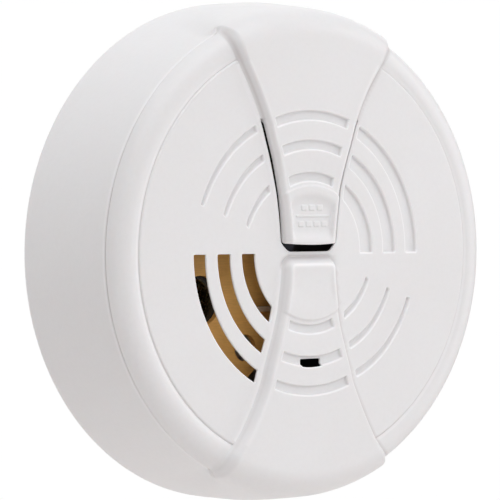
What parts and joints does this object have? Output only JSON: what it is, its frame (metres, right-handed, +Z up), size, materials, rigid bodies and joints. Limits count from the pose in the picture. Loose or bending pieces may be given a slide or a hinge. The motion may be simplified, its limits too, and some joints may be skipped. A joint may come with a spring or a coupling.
{
  "type": "smoke alarm",
  "caption": "Round white wall-mounted battery smoke alarm with curved vent slots, a flexing test button in a raised centre band, battery door and twist-lock bracket.",
  "frame": {"origin": "centre of the alarm's axis in the plane of the wall, the back of the mounting bracket", "axes": "+Y points into the wall, so the alarm faces -Y, and +Z is up as it hangs, with the test button above the centre"},
  "size_m": [0.127, 0.0354, 0.127],
  "materials": {
    "battery_jacket": "printed steel jacket, no markings",
    "black_plastic": "moulded black plastic",
    "board": "paper-phenolic laminate, bare face",
    "bracket_plastic": "plain moulded white ABS",
    "brass": "bright brass sheet",
    "capacitor_sleeve": "shrink sleeve",
    "contact_foot": "bare moulded plastic",
    "cover_plastic": "satin moulded white ABS",
    "foam": "closed-cell foam",
    "green_dip": "dipped epoxy",
    "housing_plastic": "satin moulded white ABS",
    "lamp_lens": "clear red epoxy",
    "piezo_ceramic": "silvered ceramic",
    "red_plastic": "moulded red plastic",
    "resistor_coat": "lacquered",
    "spring_steel": "plated spring steel",
    "tinned_steel": "tinned steel stamping"
  },
  "bodies": {
    "bracket": {"mounting_bracket": "bracket_plastic"},
    "head": {"front_cover": "cover_plastic", "rear_housing": "housing_plastic", "door_hinge_pin": "spring_steel", "battery_case": "battery_jacket", "battery_top": "black_plastic", "battery_stud_positive": "spring_steel", "battery_stud_negative": "spring_steel", "battery_contact_positive": "spring_steel", "battery_contact_negative": "spring_steel", "battery_reminder_lever": "red_plastic", "circuit_board": "board", "board_screw_1": "spring_steel", "board_screw_2": "spring_steel", "board_screw_3": "spring_steel", "chamber_base": "black_plastic", "chamber_can": "tinned_steel", "chamber_collector": "tinned_steel", "source_holder": "tinned_steel", "sounder_body": "black_plastic", "sounder_disc": "brass", "sounder_ceramic": "piezo_ceramic", "sounder_contact_disc": "spring_steel", "sounder_contact_ceramic": "spring_steel", "signal_chip": "black_plastic", "chip_leads_left": "spring_steel", "chip_leads_right": "spring_steel", "capacitor_large": "capacitor_sleeve", "capacitor_small": "capacitor_sleeve", "capacitor_film": "green_dip", "resistor_1": "resistor_coat", "resistor_2": "resistor_coat", "resistor_3": "resistor_coat", "resistor_4": "resistor_coat", "indicator_led": "lamp_lens", "led_lead_1": "spring_steel", "led_lead_2": "spring_steel", "led_shroud": "black_plastic", "insulating_sheet": "black_plastic", "test_contact_foot": "contact_foot", "test_contact_stud": "brass", "housing_screw_1": "spring_steel", "housing_screw_2": "spring_steel", "housing_screw_3": "spring_steel"},
    "battery_door": {"battery_door": "housing_plastic", "door_pad": "foam"},
    "test_button": {"test_button": "cover_plastic"},
    "test_contact": {"test_contact_leaf": "spring_steel"}
  },
  "joints": [
    {"name": "head_twist", "type": "hinge", "parent": "bracket", "child": "head", "pos_m": [0, 0, 0], "axis": [0, -1, 0], "range_deg": [0, 15]},
    {"name": "battery_door_hinge", "type": "hinge", "parent": "head", "child": "battery_door", "pos_m": [0.013, -0.00175, -0.0306], "axis": [-1, 0, 0], "range_deg": [0, 100]},
    {"name": "test_button_press", "type": "hinge", "parent": "head", "child": "test_button", "pos_m": [0, -0.0346, 0.03315], "axis": [1, 0, 0], "range_deg": [0, 3], "stiffness_Nm_per_rad": 1.5},
    {"name": "test_contact_flex", "type": "hinge", "parent": "head", "child": "test_contact", "pos_m": [-0.0062, -0.02722, -0.012], "axis": [-0.9482, 0, 0.3176], "range_deg": [0, 4.4], "stiffness_Nm_per_rad": 0.01}
  ],
  "couplings": [
    {"joint": "test_contact_flex", "follows": "test_button_press", "ratio": 1.45}
  ]
}
